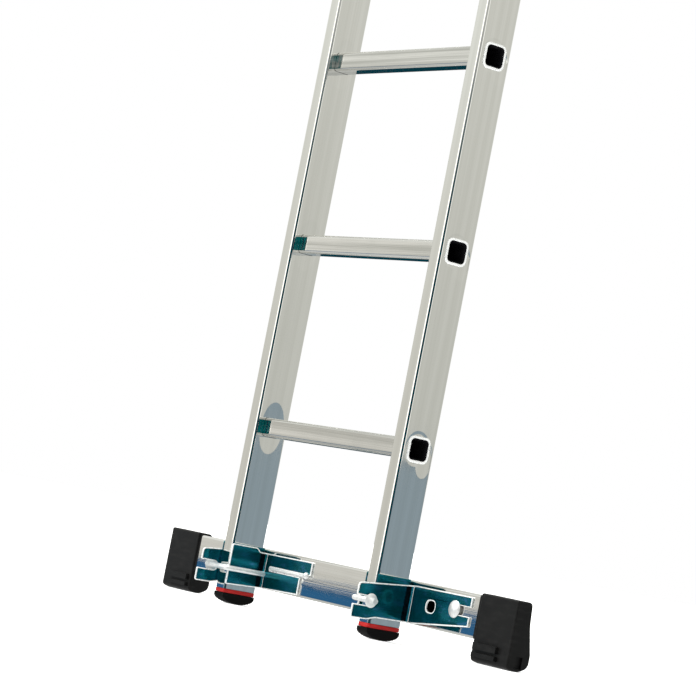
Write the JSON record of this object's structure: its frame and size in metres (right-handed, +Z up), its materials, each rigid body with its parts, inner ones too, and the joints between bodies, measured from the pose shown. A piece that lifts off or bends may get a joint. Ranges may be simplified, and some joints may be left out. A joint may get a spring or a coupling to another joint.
{
  "type": "extension ladder",
  "caption": "Push-up aluminium extension ladder: sliding fly section with pivoting rung locks, and a clamped stabiliser bar with moulded feet.",
  "frame": {"origin": "on the floor, at the middle of the ladder's box", "axes": "+Z up along the stiles, +X right along the rungs as the climber sees them, +Y away from the climber"},
  "size_m": [0.888, 0.1614, 3.5038],
  "materials": {
    "stile_aluminium": "mill-finish extrusion, satin, with fine drawn lines along its length",
    "rung_aluminium": "mill-finish extrusion with fluted tread and lengthwise streaks",
    "bar_aluminium": "bright mill finish, slightly polished",
    "zinc_plated_sheet": "bright blue-passivated zinc on pressed sheet steel",
    "bright_steel": "bright zinc-plated rod and fasteners",
    "black_moulding": "fine-grained moulded plastic",
    "black_rubber": "matt moulded rubber",
    "red_moulding": "smooth moulded plastic"
  },
  "bodies": {
    "base_section": {"bar_left_bolt": "bright_steel", "bar_left_nut": "bright_steel", "bar_right_bolt": "bright_steel", "bar_right_nut": "bright_steel", "base_cap_left": "black_moulding", "base_cap_right": "black_moulding", "base_guide_left": "zinc_plated_sheet", "base_guide_right": "zinc_plated_sheet", "base_rung_1": "rung_aluminium", "base_rung_2": "rung_aluminium", "base_rung_3": "rung_aluminium", "base_rung_4": "rung_aluminium", "base_rung_5": "rung_aluminium", "base_rung_6": "rung_aluminium", "base_rung_7": "rung_aluminium", "base_rung_8": "rung_aluminium", "base_stile_left": "stile_aluminium", "base_stile_right": "stile_aluminium", "clamp_saddle_left": "zinc_plated_sheet", "clamp_saddle_right": "zinc_plated_sheet", "foot_collar_left": "red_moulding", "foot_collar_right": "red_moulding", "foot_sole_left": "black_rubber", "foot_sole_right": "black_rubber", "inner_bracket_left": "zinc_plated_sheet", "inner_bracket_right": "zinc_plated_sheet", "outer_bracket_left": "zinc_plated_sheet", "outer_bracket_right": "zinc_plated_sheet", "stabiliser_bar": "bar_aluminium", "stabiliser_foot_left": "black_moulding", "stabiliser_foot_right": "black_moulding"},
    "fly_section": {"fly_cap_bottom_left": "black_moulding", "fly_cap_bottom_right": "black_moulding", "fly_cap_top_left": "black_moulding", "fly_cap_top_right": "black_moulding", "fly_guide_left": "zinc_plated_sheet", "fly_guide_right": "zinc_plated_sheet", "fly_rung_1": "rung_aluminium", "fly_rung_2": "rung_aluminium", "fly_rung_3": "rung_aluminium", "fly_rung_4": "rung_aluminium", "fly_rung_5": "rung_aluminium", "fly_rung_6": "rung_aluminium", "fly_rung_7": "rung_aluminium", "fly_rung_8": "rung_aluminium", "fly_stile_left": "stile_aluminium", "fly_stile_right": "stile_aluminium", "lock_plate_left": "zinc_plated_sheet", "lock_plate_right": "zinc_plated_sheet"},
    "lock_left": {"rung_lock_left": "zinc_plated_sheet"},
    "lock_right": {"rung_lock_right": "zinc_plated_sheet"},
    "hook_left": {"hook_bolt_left": "bright_steel"},
    "hook_right": {"hook_bolt_right": "bright_steel"},
    "nut_left": {"wing_nut_left": "bright_steel"},
    "nut_right": {"wing_nut_right": "bright_steel"}
  },
  "joints": [
    {"name": "fly_slide", "type": "slide", "parent": "base_section", "child": "fly_section", "axis": [0, 0, 1], "range_m": [-1.12, 0.56]},
    {"name": "lock_left_swing", "type": "hinge", "parent": "fly_section", "child": "lock_left", "pos_m": [-0.1687, -0.03535, 1.4225], "axis": [1, 0, 0], "range_deg": [0, 100]},
    {"name": "lock_right_swing", "type": "hinge", "parent": "fly_section", "child": "lock_right", "pos_m": [0.1687, -0.03535, 1.4225], "axis": [1, 0, 0], "range_deg": [0, 100]},
    {"name": "nut_left_turn", "type": "hinge", "parent": "base_section", "child": "nut_left", "pos_m": [-0.164, 0.06865, 0.052], "axis": [0, 1, 0], "range_deg": [0, 1445]},
    {"name": "nut_right_turn", "type": "hinge", "parent": "base_section", "child": "nut_right", "pos_m": [0.164, 0.06865, 0.052], "axis": [0, 1, 0], "range_deg": [0, 1445]},
    {"name": "hook_left_slide", "type": "slide", "parent": "base_section", "child": "hook_left", "axis": [0, -1, 0], "range_m": [0, 0.005]},
    {"name": "hook_right_slide", "type": "slide", "parent": "base_section", "child": "hook_right", "axis": [0, -1, 0], "range_m": [0, 0.005]}
  ],
  "couplings": [
    {"joint": "nut_left_turn", "follows": "hook_left_slide", "rad_per_m": 5026.5},
    {"joint": "nut_right_turn", "follows": "hook_right_slide", "rad_per_m": 5026.5}
  ]
}
